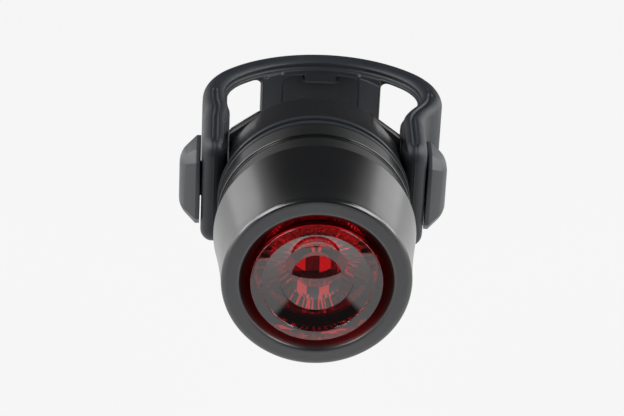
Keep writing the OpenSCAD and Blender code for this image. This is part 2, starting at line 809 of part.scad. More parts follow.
head_barrel();
lens_seal();
lens();
lens_holder();
switch_plungers();
switch_bodies();
led_board();
led_package();
led_dome();
driver_chip();
board_chips();
board_screws();
battery_tray();
cell_front();
cell_rear();
front_contact();
rear_contact();
return_spring();
o_ring();
base_body();
saddle_pad();
strap();
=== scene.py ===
# %% [markdown]
# # A bike rear light with a rubber post strap
# The frame comes from CAD: every piece at its real size, in metres, on the body that carries it.
# This lesson gives each piece the finish of the real one: satin black metal, clear red plastic,
# moulded plastic and silicone. A solid whose shape is right keeps its mesh and gets a material.
# The turned head, the lens, the base and the rubber pieces get finer meshes in the same place.

# %% Load the frame
import math

import bmesh
import bpy
import numpy as np
from mathutils import Matrix, Vector


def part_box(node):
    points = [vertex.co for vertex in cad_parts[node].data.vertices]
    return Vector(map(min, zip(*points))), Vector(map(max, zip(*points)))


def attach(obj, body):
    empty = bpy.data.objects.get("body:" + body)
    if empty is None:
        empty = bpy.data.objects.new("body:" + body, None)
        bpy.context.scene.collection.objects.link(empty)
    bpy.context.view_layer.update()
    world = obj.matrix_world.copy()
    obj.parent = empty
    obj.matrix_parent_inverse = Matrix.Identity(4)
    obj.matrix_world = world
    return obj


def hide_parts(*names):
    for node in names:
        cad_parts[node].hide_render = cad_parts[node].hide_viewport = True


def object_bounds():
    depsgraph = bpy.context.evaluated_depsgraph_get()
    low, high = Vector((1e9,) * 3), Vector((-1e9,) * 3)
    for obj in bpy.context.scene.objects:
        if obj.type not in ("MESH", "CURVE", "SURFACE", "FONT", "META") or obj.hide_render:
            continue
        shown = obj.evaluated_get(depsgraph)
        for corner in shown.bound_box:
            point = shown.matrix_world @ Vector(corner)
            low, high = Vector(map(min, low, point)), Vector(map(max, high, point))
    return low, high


MM = 0.001
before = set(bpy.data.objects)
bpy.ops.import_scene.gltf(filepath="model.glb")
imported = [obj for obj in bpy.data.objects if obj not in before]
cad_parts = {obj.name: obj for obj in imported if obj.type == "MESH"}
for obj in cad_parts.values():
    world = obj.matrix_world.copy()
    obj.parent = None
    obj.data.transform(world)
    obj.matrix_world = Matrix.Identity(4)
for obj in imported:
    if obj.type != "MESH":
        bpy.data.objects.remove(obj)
cad_low, cad_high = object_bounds()
print("CAD box in mm:", [round(x / MM, 2) for x in (*cad_low, *cad_high)])

# %% [markdown]
# ## The camera
# The light is seen from the front, about 30 degrees above its axis, through a long lens.
# The eye's place follows from two angles and a distance to the middle of the lens. The camera is
# then turned so that this point falls on its own pixel, which needs no shift of the sensor.

# %% Camera
IMAGE_W, IMAGE_H = 624, 416
view_azimuth = math.radians(-2.6)
view_elevation = math.radians(30.5)
view_roll = math.radians(2.8)
view_distance = 350 * MM
focal_px = 2604
lens_centre_px = (316.8, 283.9)

lens_centre = Vector((0, cad_low.y, 0))
back = Vector((math.sin(view_azimuth) * math.cos(view_elevation),
               -math.cos(view_azimuth) * math.cos(view_elevation),
               math.sin(view_elevation)))
level = Vector((0, 0, 1)).cross(back).normalized()
upright = back.cross(level)
right = level * math.cos(view_roll) + upright * math.sin(view_roll)
up = upright * math.cos(view_roll) - level * math.sin(view_roll)
aim = (-back + right * (IMAGE_W / 2 - lens_centre_px[0]) / focal_px
       + up * (lens_centre_px[1] - IMAGE_H / 2) / focal_px).normalized()
right = (right - aim * right.dot(aim)).normalized()
up = right.cross(aim)

camera_data = bpy.data.cameras.new("photo_camera")
camera_data.sensor_width = 36
camera_data.lens = focal_px / IMAGE_W * camera_data.sensor_width
camera_data.clip_start = 10 * MM
camera_data.clip_end = 20
camera = bpy.data.objects.new("photo_camera", camera_data)
camera.matrix_world = (Matrix.Translation(lens_centre + back * view_distance)
                       @ Matrix((right, up, -aim)).transposed().to_4x4())
bpy.context.scene.collection.objects.link(camera)
bpy.context.scene.camera = camera
print("lens of", round(camera_data.lens, 1), "mm at", [round(x, 3) for x in camera.location])

# %% [markdown]
# ## The studio
# Black satin metal shows its surroundings more than its own colour, so the room counts as much as the
# finishes. How the photo was lit isn't known. Its reflections look like those of a white table that
# ends a little in front of the light, of low pale walls on the left and right, and of a dark room
# elsewhere. The room here was fitted to them: a pale floor with a front and a rear edge, a world
# that is pale only low down at the sides, and three flat lamps per side. The camera itself sees a
# pale world all round. The clear lens mirrors the floor's front edge as a sharp line.

# %% Node helpers
def add_node(tree, kind, **values):
    """A new node with its own properties, and with input sockets set by name or by number."""
    node = tree.nodes.new(kind)
    sockets = values.pop("sockets", {})
    for name, value in values.items():
        setattr(node, name, value)
    for name, value in sockets.items():
        node.inputs[name].default_value = value
    return node


def math_node(tree, operation, second=None):
    """A Math node, with its second value where that is a plain number."""
    sockets = {} if second is None else {1: second}
    return add_node(tree, "ShaderNodeMath", operation=operation, sockets=sockets)


def fade_node(tree, none, full):
    """A node that goes smoothly from 0 at one value to 1 at another, which may be the lower one."""
    return add_node(tree, "ShaderNodeMapRange", interpolation_type="SMOOTHSTEP",
                    sockets={"From Min": none, "From Max": full})


def chain(tree, *sockets):
    """Links pairs of sockets: from, to, from, to."""
    for start, end in zip(sockets[::2], sockets[1::2]):
        tree.links.new(start, end)


print("node helpers ready")


# %% Floor
def seen_rays(tree):
    """A socket that is 1 for rays from the camera, and for rays that gloss or glass sends out."""
    path = add_node(tree, "ShaderNodeLightPath")
    first = math_node(tree, "MAXIMUM")
    second = math_node(tree, "MAXIMUM")
    chain(tree, path.outputs["Is Camera Ray"], first.inputs[0],
          path.outputs["Is Glossy Ray"], first.inputs[1],
          first.outputs[0], second.inputs[0],
          path.outputs["Is Transmission Ray"], second.inputs[1])
    return second.outputs[0]


PALE = (0.93, 0.93, 0.93, 1)
table_matt = (0.8, 0.8, 0.8, 1)
floor_drop = 45 * MM
floor_size = 2.4
floor_front = lens_centre.y - 109.5 * MM
floor_back = 200 * MM
floor_slant = 0.15
floor_share = 0.94  # how much of the floor is an even shine, where lens, metal or camera see it

floor_mesh = bpy.data.meshes.new("floor")
half = floor_size / 2
floor_z = cad_low.z - floor_drop
slant = half * floor_slant
floor_mesh.from_pydata([(-half, floor_front + slant, floor_z), (half, floor_front - slant, floor_z),
                        (half, floor_back, floor_z), (-half, floor_back, floor_z)], [], [(0, 1, 2, 3)])
floor = bpy.data.objects.new("floor", floor_mesh)
bpy.context.scene.collection.objects.link(floor)

paper = bpy.data.materials.new("white_table")
paper.use_nodes = True
tree = paper.node_tree
tree.nodes.clear()
matt = add_node(tree, "ShaderNodeBsdfDiffuse", sockets={"Color": table_matt})
shine = add_node(tree, "ShaderNodeEmission", sockets={"Color": PALE, "Strength": 1})
share = math_node(tree, "MULTIPLY", floor_share)
mixed = add_node(tree, "ShaderNodeMixShader")
out = add_node(tree, "ShaderNodeOutputMaterial")
chain(tree, seen_rays(tree), share.inputs[0], share.outputs[0], mixed.inputs[0],
      matt.outputs[0], mixed.inputs[1], shine.outputs[0], mixed.inputs[2],
      mixed.outputs[0], out.inputs["Surface"])
floor_mesh.materials.append(paper)
print("floor at", round(floor_z / MM, 1), "mm")

# %% World
# Each pair is how far up, forward or back a unit direction points where the wall starts and stops fading.
wall_fade = (0.2, 0.5)
front_fade = (0.7, 0.76)
rear_fade = (0.82, 0.93)
room_dark = (0.05, 0.051, 0.054, 1)

world = bpy.data.worlds.new("studio")
bpy.context.scene.world = world
world.use_nodes = True
tree = world.node_tree
tree.nodes.clear()
where = add_node(tree, "ShaderNodeTexCoord")
parts = add_node(tree, "ShaderNodeSeparateXYZ")
above = fade_node(tree, wall_fade[0], wall_fade[1])
front = fade_node(tree, -front_fade[0], -front_fade[1])
behind = fade_node(tree, rear_fade[0], rear_fade[1])
ends = math_node(tree, "MAXIMUM")
edge = math_node(tree, "MAXIMUM")
room = add_node(tree, "ShaderNodeMix", data_type="RGBA", sockets={6: PALE, 7: room_dark})
path = add_node(tree, "ShaderNodeLightPath")
sky = add_node(tree, "ShaderNodeMix", data_type="RGBA", sockets={7: PALE})
light = add_node(tree, "ShaderNodeBackground")
out = add_node(tree, "ShaderNodeOutputWorld")
chain(tree, where.outputs["Generated"], parts.inputs[0], parts.outputs["Z"], above.inputs["Value"],
      parts.outputs["Y"], front.inputs["Value"], parts.outputs["Y"], behind.inputs["Value"],
      front.outputs["Result"], ends.inputs[0], behind.outputs["Result"], ends.inputs[1],
      above.outputs["Result"], edge.inputs[0], ends.outputs[0], edge.inputs[1],
      edge.outputs[0], room.inputs[0], room.outputs[2], sky.inputs[6],
      path.outputs["Is Camera Ray"], sky.inputs[0], sky.outputs[2], light.inputs["Color"],
      light.outputs[0], out.inputs["Surface"])
bpy.context.scene.view_settings.view_transform = "Standard"
print("world with walls that fade out above, in front and behind")


# %% Lamps
def soft_lamp(name, azimuth, elevation, distance, size, radiance):
    """A flat lamp that faces the light. Azimuth 0 is in front of the lens, 90 on its right."""
    a, e = math.radians(azimuth), math.radians(elevation)
    toward = Vector((math.sin(a) * math.cos(e), -math.cos(a) * math.cos(e), math.sin(e)))
    data = bpy.data.lights.new(name, "AREA")
    data.shape = "RECTANGLE"
    data.size, data.size_y = size
    data.energy = radiance * math.pi * size[0] * size[1]
    lamp = bpy.data.objects.new(name, data)
    lamp.location = (cad_low + cad_high) / 2 + toward * distance
    lamp.rotation_mode = "QUATERNION"
    lamp.rotation_quaternion = toward.to_track_quat("Z", "Y")
    lamp.visible_camera = False
    bpy.context.scene.collection.objects.link(lamp)


for side, name in ((-1, "left"), (1, "right")):
    soft_lamp("lamp_" + name, azimuth=side * 97, elevation=33, distance=420 * MM,
              size=(320 * MM, 320 * MM), radiance=3.4)
    soft_lamp("wall_" + name, azimuth=side * 115, elevation=5, distance=500 * MM,
              size=(640 * MM, 240 * MM), radiance=0.8)
    soft_lamp("front_" + name, azimuth=side * 62, elevation=42, distance=420 * MM,
              size=(180 * MM, 200 * MM), radiance=5.0)
print("lamps:", [lamp.name for lamp in bpy.data.lights])

# %% [markdown]
# ## Effects that several finishes share
# Every real surface varies. Moulded plastic and blasted metal have a fine grain, handled pieces have
# patches that are a little smoother, and rubber catches specks of dust. Each effect is one node group
# with named inputs, so that the finishes can place it with their own sizes.

# %% Node groups
def new_group(name, inputs, outputs):
    """A shader node group with named sockets, and its input and output nodes."""
    group = bpy.data.node_groups.new(name, "ShaderNodeTree")
    for label, kind, value in inputs:
        socket = group.interface.new_socket(label, in_out="INPUT", socket_type=kind)
        if value is not None:
            socket.default_value = value
    for label, kind in outputs:
        group.interface.new_socket(label, in_out="OUTPUT", socket_type=kind)
    return group, group.nodes.new("NodeGroupInput"), group.nodes.new("NodeGroupOutput")


def counted_place(group, start, label):
    """The place on a piece, counted in steps of the size that one of the group's inputs gives."""
    scale = add_node(group, "ShaderNodeVectorMath", operation="SCALE")
    inverse = add_node(group, "ShaderNodeMath", operation="DIVIDE", sockets={0: 1.0})
    chain(group, start.outputs["Vector"], scale.inputs[0], start.outputs[label], inverse.inputs[1],
          inverse.outputs[0], scale.inputs["Scale"])
    return scale.outputs[0]


VECTOR, FLOAT = "NodeSocketVector", "NodeSocketFloat"

grain_group, start, end = new_group(
    "fine_grain", [("Vector", VECTOR, None), ("Size", FLOAT, 0.1 * MM)], [("Height", FLOAT)])
noise = add_node(grain_group, "ShaderNodeTexNoise", sockets={"Scale": 1, "Detail": 2, "Roughness": 0.6})
chain(grain_group, counted_place(grain_group, start, "Size"), noise.inputs["Vector"],
      noise.outputs[0], end.inputs["Height"])

patch_group, start, end = new_group(
    "handled_patches",
    [("Vector", VECTOR, None), ("Size", FLOAT, 6 * MM), ("Low", FLOAT, 0.3), ("High", FLOAT, 0.4)],
    [("Roughness", FLOAT)])
noise = add_node(patch_group, "ShaderNodeTexNoise", sockets={"Scale": 1, "Detail": 4, "Roughness": 0.55})
spread = add_node(patch_group, "ShaderNodeMapRange", sockets={"From Min": 0.35, "From Max": 0.65})
chain(patch_group, counted_place(patch_group, start, "Size"), noise.inputs["Vector"],
      noise.outputs[0], spread.inputs["Value"], start.outputs["Low"], spread.inputs["To Min"],
      start.outputs["High"], spread.inputs["To Max"], spread.outputs["Result"], end.inputs["Roughness"])

dust_group, start, end = new_group(
    "dust_specks",
    [("Vector", VECTOR, None), ("Spacing", FLOAT, 1.5 * MM), ("Radius", FLOAT, 0.05)],
    [("Mask", FLOAT)])
cells = add_node(dust_group, "ShaderNodeTexVoronoi", sockets={"Scale": 1, "Randomness": 1})
speck = math_node(dust_group, "LESS_THAN")
chain(dust_group, counted_place(dust_group, start, "Spacing"), cells.inputs["Vector"],
      cells.outputs["Distance"], speck.inputs[0], start.outputs["Radius"], speck.inputs[1],
      speck.outputs[0], end.inputs["Mask"])
print("groups:", grain_group.name, patch_group.name, dust_group.name)


# %% A finish from those groups
def new_finish(name, colour, **sockets):
    """A material with one Principled shader, whose plain values are set on its own sockets."""
    material = bpy.data.materials.new(name)
    material.use_nodes = True
    shader = material.node_tree.nodes["Principled BSDF"]
    shader.inputs["Base Color"].default_value = (*colour, 1)
    for label, value in sockets.items():
        shader.inputs[label.replace("_", " ")].default_value = value
    return material, material.node_tree, shader


def use_group(tree, group, where, **sockets):
    """Places a node group in a material and feeds it a place on the piece."""
    node = add_node(tree, "ShaderNodeGroup", node_tree=group, sockets=sockets)
    tree.links.new(where, node.inputs["Vector"])
    return node


def weathered(name, colour, grain, depth, rough, patch=6 * MM, dust=0.0, dust_lift=3, **sockets):
    """A finish with grain in its normal, patches in its roughness and, on rubber, specks of dust."""
    material, tree, shader = new_finish(name, colour, **sockets)
    where = add_node(tree, "ShaderNodeTexCoord").outputs["Object"]
    grains = use_group(tree, grain_group, where, Size=grain)
    bump = add_node(tree, "ShaderNodeBump", sockets={"Strength": 1, "Distance": depth})
    patches = use_group(tree, patch_group, where, Size=patch, Low=rough[0], High=rough[1])
    chain(tree, grains.outputs["Height"], bump.inputs["Height"], bump.outputs[0], shader.inputs["Normal"],
          patches.outputs["Roughness"], shader.inputs["Roughness"])
    if dust:
        specks = use_group(tree, dust_group, where, Radius=dust)
        pale = tuple(min(1, dust_lift * c) for c in colour)
        tint = add_node(tree, "ShaderNodeMix", data_type="RGBA", sockets={6: (*colour, 1), 7: (*pale, 1)})
        chain(tree, specks.outputs["Mask"], tint.inputs[0], tint.outputs[2], shader.inputs["Base Color"])
    return material


head_metal = weathered("satin_black_anodised", (0.005, 0.0052, 0.0055), grain=0.2 * MM, depth=0.0004 * MM,
                       rough=(0.2, 0.24), IOR=1.9)
base_plastic = weathered("moulded_black_plastic", (0.01, 0.01, 0.011), grain=0.3 * MM, depth=0.003 * MM,
                         rough=(0.25, 0.32), IOR=1.5)
strap_rubber = weathered("strap_silicone", (0.014, 0.0175, 0.022), grain=0.1 * MM, depth=0.004 * MM,
                         rough=(0.42, 0.52), dust=0.045, IOR=1.5)
pad_rubber = weathered("pad_rubber", (0.035, 0.037, 0.04), grain=0.1 * MM, depth=0.006 * MM,
                       rough=(0.6, 0.72), IOR=1.5)
seal_rubber = weathered("seal_rubber", (0.015, 0.015, 0.015), grain=0.08 * MM, depth=0.003 * MM,
                        rough=(0.45, 0.6))
print("finishes:", [m.name for m in (head_metal, base_plastic, strap_rubber, pad_rubber, seal_rubber)])

# %% [markdown]
# ## Zones of painted shade and sheen within a finish
# In the photo the head's flat front looks paler than its flank, the funnel round the lens is nearly
# black, and the base's rings and the outer sides of its hooks look paler than the rest of it. Such
# zones could be pieces of their own, but head and base are one piece each. So a mask that reads the
# place on the piece fades in a second colour and roughness. These were chosen by comparing
# brightness with the photo, and the real light may have one finish all over. The paler colours are
# a painted sheen, and the darker funnel is painted shade in the recess.

# %% Masks by place
def zone_mask(tree, full, none, axis="Y"):
    """A mask that is 1 at a place on an axis and beyond it, and fades to 0 at another place."""
    where = add_node(tree, "ShaderNodeTexCoord")
    parts = add_node(tree, "ShaderNodeSeparateXYZ")
    fade = fade_node(tree, none, full)
    chain(tree, where.outputs["Object"], parts.inputs[0], parts.outputs[axis], fade.inputs["Value"])
    return fade.outputs["Result"]


def radius_mask(tree, full, none):
    """A mask that is 1 up to one distance from the light's axis and fades to 0 at another."""
    where = add_node(tree, "ShaderNodeTexCoord")
    flat = add_node(tree, "ShaderNodeVectorMath", operation="MULTIPLY", sockets={1: (1, 0, 1)})
    reach = add_node(tree, "ShaderNodeVectorMath", operation="LENGTH")
    inside = add_node(tree, "ShaderNodeMapRange", sockets={"From Min": none, "From Max": full})
    chain(tree, where.outputs["Object"], flat.inputs[0], flat.outputs[0], reach.inputs[0],
          reach.outputs["Value"], inside.inputs["Value"])
    return inside.outputs["Result"]


def dress_zone(material, mask, colour, rough):
    """Gives the part of a finish where a mask is 1 another colour and roughness."""
    tree = material.node_tree
    shader = tree.nodes["Principled BSDF"]
    base = shader.inputs["Base Color"]
    tint = add_node(tree, "ShaderNodeMix", data_type="RGBA",
                    sockets={6: tuple(base.default_value), 7: (*colour, 1)})
    if base.links:
        tree.links.new(base.links[0].from_socket, tint.inputs[6])
    dull = add_node(tree, "ShaderNodeMix", sockets={3: rough})
    patches = shader.inputs["Roughness"].links[0].from_socket
    chain(tree, patches, dull.inputs[2], mask, dull.inputs[0], dull.outputs[0], shader.inputs["Roughness"],
          mask, tint.inputs[0], tint.outputs[2], base)


print("masks by place ready")

# %% Painted shade and sheen on the head and the base
# The funnel's zone of painted shade is a radius, the hooks' zone of painted sheen a distance from the
# middle, and the painted sheen of the face and the rings lies behind the front.
funnel_shade_zone = (10.3 * MM, 10.9 * MM)
face_sheen_zone = (0.02 * MM, 0.12 * MM)
rings_front, rings_rear, ring_sheen_fade = 20.4 * MM, 23.0 * MM, 0.1 * MM
hook_side, hook_sheen_fade = 16.4 * MM, 0.2 * MM

tree = head_metal.node_tree
# The funnel gets painted shade, a darker colour in the recess round the lens, and a rougher finish.
dress_zone(head_metal, radius_mask(tree, *funnel_shade_zone), (0.003, 0.0031, 0.0034), rough=0.4)
# The flat front face gets a painted sheen, a paler colour that stands in for the reflection it shows, and a
# rougher finish.
face_sheen_mask = zone_mask(tree, cad_low.y + face_sheen_zone[0], cad_low.y + face_sheen_zone[1])
dress_zone(head_metal, face_sheen_mask, (0.05, 0.052, 0.056), rough=0.5)

tree = base_plastic.node_tree
# The band of the two rings gets a painted sheen, a paler colour that stands in for highlights on their
# edges.
ring_sheen_mask = math_node(tree, "SUBTRACT")
rear_y, front_y = cad_low.y + rings_rear, cad_low.y + rings_front
chain(tree, zone_mask(tree, rear_y, rear_y + ring_sheen_fade), ring_sheen_mask.inputs[0],
      zone_mask(tree, front_y, front_y + ring_sheen_fade), ring_sheen_mask.inputs[1])
dress_zone(base_plastic, ring_sheen_mask.outputs[0], (0.022, 0.025, 0.029), rough=0.34)
# The outer sides of the hooks get a painted sheen, a paler colour that stands in for the light they catch.
hook_sheen_mask = math_node(tree, "MAXIMUM")
chain(tree, zone_mask(tree, -hook_side, hook_sheen_fade - hook_side, "X"), hook_sheen_mask.inputs[0],
      zone_mask(tree, hook_side, hook_side - hook_sheen_fade, "X"), hook_sheen_mask.inputs[1])
dress_zone(base_plastic, hook_sheen_mask.outputs[0], (0.06, 0.062, 0.066), rough=0.42)
print("zones: two on", head_metal.name, "and two on", base_plastic.name)

# %% [markdown]
# ## Turned pieces
# The head is turned from one bar and the lens is moulded round, so both are a profile spun about the
# axis. A Geometry Nodes tree does that: it takes the profile's points, lays a grid over points and
# segments, and bends the grid around. Points marked as fluted follow a zigzag round the axis.
# Fillets are worked out on the profile, each with a close point before and after it, so that
# smooth shading stays on the fillet and the flat beside it stays flat.

# %% The turning tree
def new_tree(name, **inputs):
    """A Geometry Nodes tree with named inputs and a geometry output, and its two end nodes."""
    tree = bpy.data.node_groups.new(name, "GeometryNodeTree")
    for label, kind in inputs.items():
        tree.interface.new_socket(label, in_out="INPUT", socket_type="NodeSocket" + kind)
    tree.interface.new_socket("Geometry", in_out="OUTPUT", socket_type="NodeSocketGeometry")
    return tree, tree.nodes.new("NodeGroupInput"), tree.nodes.new("NodeGroupOutput")


def turning_tree(seam_weld=0.0005 * MM):
    """A Geometry Nodes tree that spins a profile of radius (X) and length (Y) about the Y axis."""
    tree, start, end = new_tree("turned_piece", Profile="Geometry", Segments="Int", Flutes="Int",
                                Material="Material")
    profile, segments = start.outputs["Profile"], start.outputs["Segments"]
    count = add_node(tree, "GeometryNodeAttributeDomainSize")
    points = count.outputs["Point Count"]
    rings = math_node(tree, "ADD", 1)
    grid = add_node(tree, "GeometryNodeMeshGrid")
    index = add_node(tree, "GeometryNodeInputIndex")
    ratio = math_node(tree, "DIVIDE")
    ring = math_node(tree, "FLOOR")
    point = math_node(tree, "MODULO")
    turn = math_node(tree, "DIVIDE")
    angle = math_node(tree, "MULTIPLY", math.tau)
    place = add_node(tree, "GeometryNodeInputPosition")
    sample = add_node(tree, "GeometryNodeSampleIndex", data_type="FLOAT_VECTOR")
    depth = add_node(tree, "GeometryNodeInputNamedAttribute", data_type="FLOAT", sockets={"Name": "flute"})
    flute = add_node(tree, "GeometryNodeSampleIndex", data_type="FLOAT")
    waves = math_node(tree, "MULTIPLY")
    zigzag = math_node(tree, "PINGPONG", 0.5)
    cut = math_node(tree, "MULTIPLY")
    parts = add_node(tree, "ShaderNodeSeparateXYZ")
    radius = math_node(tree, "SUBTRACT")
    sine = math_node(tree, "SINE")
    cosine = math_node(tree, "COSINE")
    across = math_node(tree, "MULTIPLY")
    upward = math_node(tree, "MULTIPLY")
    spun = add_node(tree, "ShaderNodeCombineXYZ")
    moved = add_node(tree, "GeometryNodeSetPosition")
    closed = add_node(tree, "GeometryNodeMergeByDistance", sockets={"Distance": seam_weld})
    real = add_node(tree, "GeometryNodeRealizeInstances")
    dressed = add_node(tree, "GeometryNodeSetMaterial")
    chain(tree, profile, count.inputs[0], segments, rings.inputs[0],
          rings.outputs[0], grid.inputs["Vertices X"], points, grid.inputs["Vertices Y"],
          index.outputs[0], ratio.inputs[0], points, ratio.inputs[1],
          ratio.outputs[0], ring.inputs[0], index.outputs[0], point.inputs[0],
          points, point.inputs[1], ring.outputs[0], turn.inputs[0],
          segments, turn.inputs[1], turn.outputs[0], angle.inputs[0])
    chain(tree, profile, sample.inputs["Geometry"], place.outputs[0], sample.inputs["Value"],
          point.outputs[0], sample.inputs["Index"], profile, flute.inputs["Geometry"],
          depth.outputs["Attribute"], flute.inputs["Value"], point.outputs[0], flute.inputs["Index"],
          turn.outputs[0], waves.inputs[0], start.outputs["Flutes"], waves.inputs[1],
          waves.outputs[0], zigzag.inputs[0], zigzag.outputs[0], cut.inputs[0],
          flute.outputs[0], cut.inputs[1])
    chain(tree, sample.outputs[0], parts.inputs[0], parts.outputs["X"], radius.inputs[0],
          cut.outputs[0], radius.inputs[1], angle.outputs[0], sine.inputs[0],
          angle.outputs[0], cosine.inputs[0], radius.outputs[0], across.inputs[0],
          sine.outputs[0], across.inputs[1], radius.outputs[0], upward.inputs[0],
          cosine.outputs[0], upward.inputs[1], across.outputs[0], spun.inputs["X"],
          parts.outputs["Y"], spun.inputs["Y"], upward.outputs[0], spun.inputs["Z"])
    chain(tree, grid.outputs["Mesh"], moved.inputs["Geometry"], spun.outputs[0], moved.inputs["Position"],
          moved.outputs[0], closed.inputs["Geometry"], closed.outputs[0], real.inputs[0],
          real.outputs[0], dressed.inputs["Geometry"],
          start.outputs["Material"], dressed.inputs["Material"],
          dressed.outputs[0], end.inputs["Geometry"])
    return tree


turning = turning_tree()
print("turning tree with", len(turning.nodes), "nodes")


# %% From a tree to a plain mesh
def set_inputs(modifier, **values):
    """Sets a tree's named inputs by their sockets' identifiers."""
    for item in modifier.node_group.interface.items_tree:
        if item.item_type == "SOCKET" and item.in_out == "INPUT" and item.name in values:
            modifier[item.identifier] = values[item.name]


def smooth_mesh(mesh, sharp=40):
    """Turns all faces outwards and shades them smooth, but for edges sharper than an angle."""
    made = bmesh.new()
    made.from_mesh(mesh)
    bmesh.ops.recalc_face_normals(made, faces=made.faces)
    made.to_mesh(mesh)
    made.free()
    mesh.shade_smooth()
    mesh.set_sharp_from_angle(angle=math.radians(sharp))


def run_tree(name, source, tree, **values):
    """Runs a tree on a source mesh and returns an object with the result as its own plain mesh."""
    piece = bpy.data.objects.new(name, source)
    bpy.context.scene.collection.objects.link(piece)
    modifier = piece.modifiers.new("tree", "NODES")
    modifier.node_group = tree
    set_inputs(modifier, **values)
    graph = bpy.context.evaluated_depsgraph_get()
    mesh = bpy.data.meshes.new_from_object(piece.evaluated_get(graph))
    piece.modifiers.remove(modifier)
    piece.data = mesh
    mesh.name = name
    return piece


print("helpers for trees ready")


# %% Profiles with rounded corners
def profile_mesh(points, fluted=()):
    """Points of radius, distance behind the front face and flute depth, as a line of vertices."""
    mesh = bpy.data.meshes.new("profile")
    mesh.from_pydata([(r * MM, cad_low.y + a * MM, 0) for r, a in points],
                     [(i, i + 1) for i in range(len(points) - 1)], [])
    depth = mesh.attributes.new("flute", "FLOAT", "POINT")
    depth.data.foreach_set("value", [fluted[i] * MM if fluted else 0.0 for i in range(len(points))])
    return mesh


def fillet(corners, steps=5, hold=0.03):
    """A profile with its corners rounded. Each corner is radius, place and rounding, in mm."""
    points = []
    last = len(corners) - 1
    for i, (x, y, r) in enumerate(corners):
        here = np.array((x, y))
        if r == 0 or i in (0, last):
            points.append((x, y))
            continue
        before = np.array(corners[i - 1][:2]) - here
        after = np.array(corners[i + 1][:2]) - here
        before, after = before / np.linalg.norm(before), after / np.linalg.norm(after)
        half = math.acos(np.clip(before @ after, -1, 1)) / 2
        middle = (before + after) / np.linalg.norm(before + after)
        centre = here + middle * r / math.sin(half)
        reach = r / math.tan(half)
        first = here + before * reach - centre
        final = here + after * reach - centre
        sweep = math.pi - 2 * half
        points.append(tuple(here + before * (reach + hold)))
        for k in range(steps + 1):
            t = k / steps
            blend = (math.sin((1 - t) * sweep) * first + math.sin(t * sweep) * final) / math.sin(sweep)
            points.append(tuple(centre + blend))
        points.append(tuple(here + after * (reach + hold)))
    return points


print("helpers for profiles ready")

# %% [markdown]
# ## The head
# The metal head has a flat front face with a funnel for the lens, a flank that flares towards the
# rear, a waist and a collar. Its edges are broken by the tool that turned it, and they catch
# the light as thin bright lines. The CAD solid has sharp edges there, so a finer profile stands for it.

# %% Head shell
head_low, head_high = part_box("head_barrel")
head_r = head_high.x / MM
head_len = (head_high.y - head_low.y) / MM
flare, waist_step, collar_step = 1.2, 0.7, 0.3
nose_r, waist_r = head_r - flare, head_r - waist_step
collar_r = waist_r + collar_step
recess_r, lip_r, lens_bore_r, tray_bore_r, thread_r = 10.2, 9.1, 10.55, 11.3, 12.45
seal_groove_r, seal_groove_len, shoulder_gap = 13.1, 0.9, 0.15
nose_round, recess_round, lip_round, rear_round = 0.8, 0.6, 0.1, 0.18
edge_break, waist_break, thread_break, bore_break = 0.12, 0.08, 0.1, 0.05
flank_len, waist_len, spigot_a, recess_depth, lip_rear, board_a = 13.2, 4.2, 13.9, 2.4, 3.4, 10.0
collar_a = flank_len + waist_len
groove_a, shoulder_a = head_len - seal_groove_len, spigot_a - shoulder_gap
funnel_r = recess_r + recess_round * (recess_r - lip_r) / (recess_depth - recess_round)
funnel_mid = ((recess_r + lip_r) / 2, (recess_round + recess_depth) / 2, 0)
flank_steps, head_segments = 10, 192


def flank(t):
    """Radius of the flank at a share of its length. It curves out towards the rear."""
    return nose_r + (head_r - nose_r) * (t + t * t) / 2


head_front = [funnel_mid, (funnel_r, 0, recess_round), (nose_r, 0, nose_round)]
flank_line = [(flank(k / flank_steps), nose_round + (flank_len - nose_round) * k / flank_steps, 0)
              for k in range(1, flank_steps)]
head_rear = [(head_r, flank_len, edge_break), (waist_r, spigot_a, edge_break),
             (waist_r, collar_a, waist_break), (collar_r, collar_a, edge_break),
             (collar_r, head_len, rear_round)]
head_inside = [(seal_groove_r, head_len, bore_break), (seal_groove_r, groove_a, bore_break),
               (thread_r, groove_a, thread_break), (thread_r, shoulder_a, bore_break),
               (tray_bore_r, shoulder_a, bore_break), (tray_bore_r, board_a, bore_break),
               (lens_bore_r, board_a, bore_break), (lens_bore_r, lip_rear, bore_break),
               (lip_r, lip_rear, bore_break), (lip_r, recess_depth, lip_round), funnel_mid]
head_corners = head_front + flank_line + head_rear + head_inside
head_shell = run_tree("head_shell", profile_mesh(fillet(head_corners)), turning,
                      Segments=head_segments, Flutes=0, Material=head_metal)
smooth_mesh(head_shell.data)
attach(head_shell, "head")
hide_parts("head_barrel")
print("head:", len(head_shell.data.polygons), "faces")

# %% [markdown]
# ## The lens
# The lens is one clear red moulding: a flat rim, a small step, a dish with a flat floor and a dome in
# the middle. Behind it a fluted cone gathers the light of the LED, which sits in a round well.
# Clear plastic bends light at every face, so the whole moulding is closed and has real walls.
# Lamps can't shine straight through a bending surface in Cycles, so shadow rays meet a tinted,
# transparent one instead, and the lamps reach what is inside. A weak grey absorption dims what
# comes a long way through the plastic.

# %% Clear red plastic
shadow_tint = (0.97, 0.06, 0.07, 1)
absorption = {"Color": (0, 0, 0, 1), "Density": 10}

lens_red, tree, shader = new_finish("clear_red_plastic", (0.95, 0.012, 0.018), Roughness=0.02, IOR=1.586,
                                    Transmission_Weight=1.0, Coat_Weight=1.0, Coat_Roughness=0.02)
path = add_node(tree, "ShaderNodeLightPath")
dimmed = add_node(tree, "ShaderNodeVolumeAbsorption", sockets=absorption)
tinted = add_node(tree, "ShaderNodeBsdfTransparent", sockets={"Color": shadow_tint})
mixed = add_node(tree, "ShaderNodeMixShader")
out = tree.nodes["Material Output"]
chain(tree, path.outputs["Is Shadow Ray"], mixed.inputs[0], shader.outputs[0], mixed.inputs[1],
      tinted.outputs[0], mixed.inputs[2], mixed.outputs[0], out.inputs["Surface"],
      dimmed.outputs[0], out.inputs["Volume"])
print("finish of the lens:", lens_red.name)

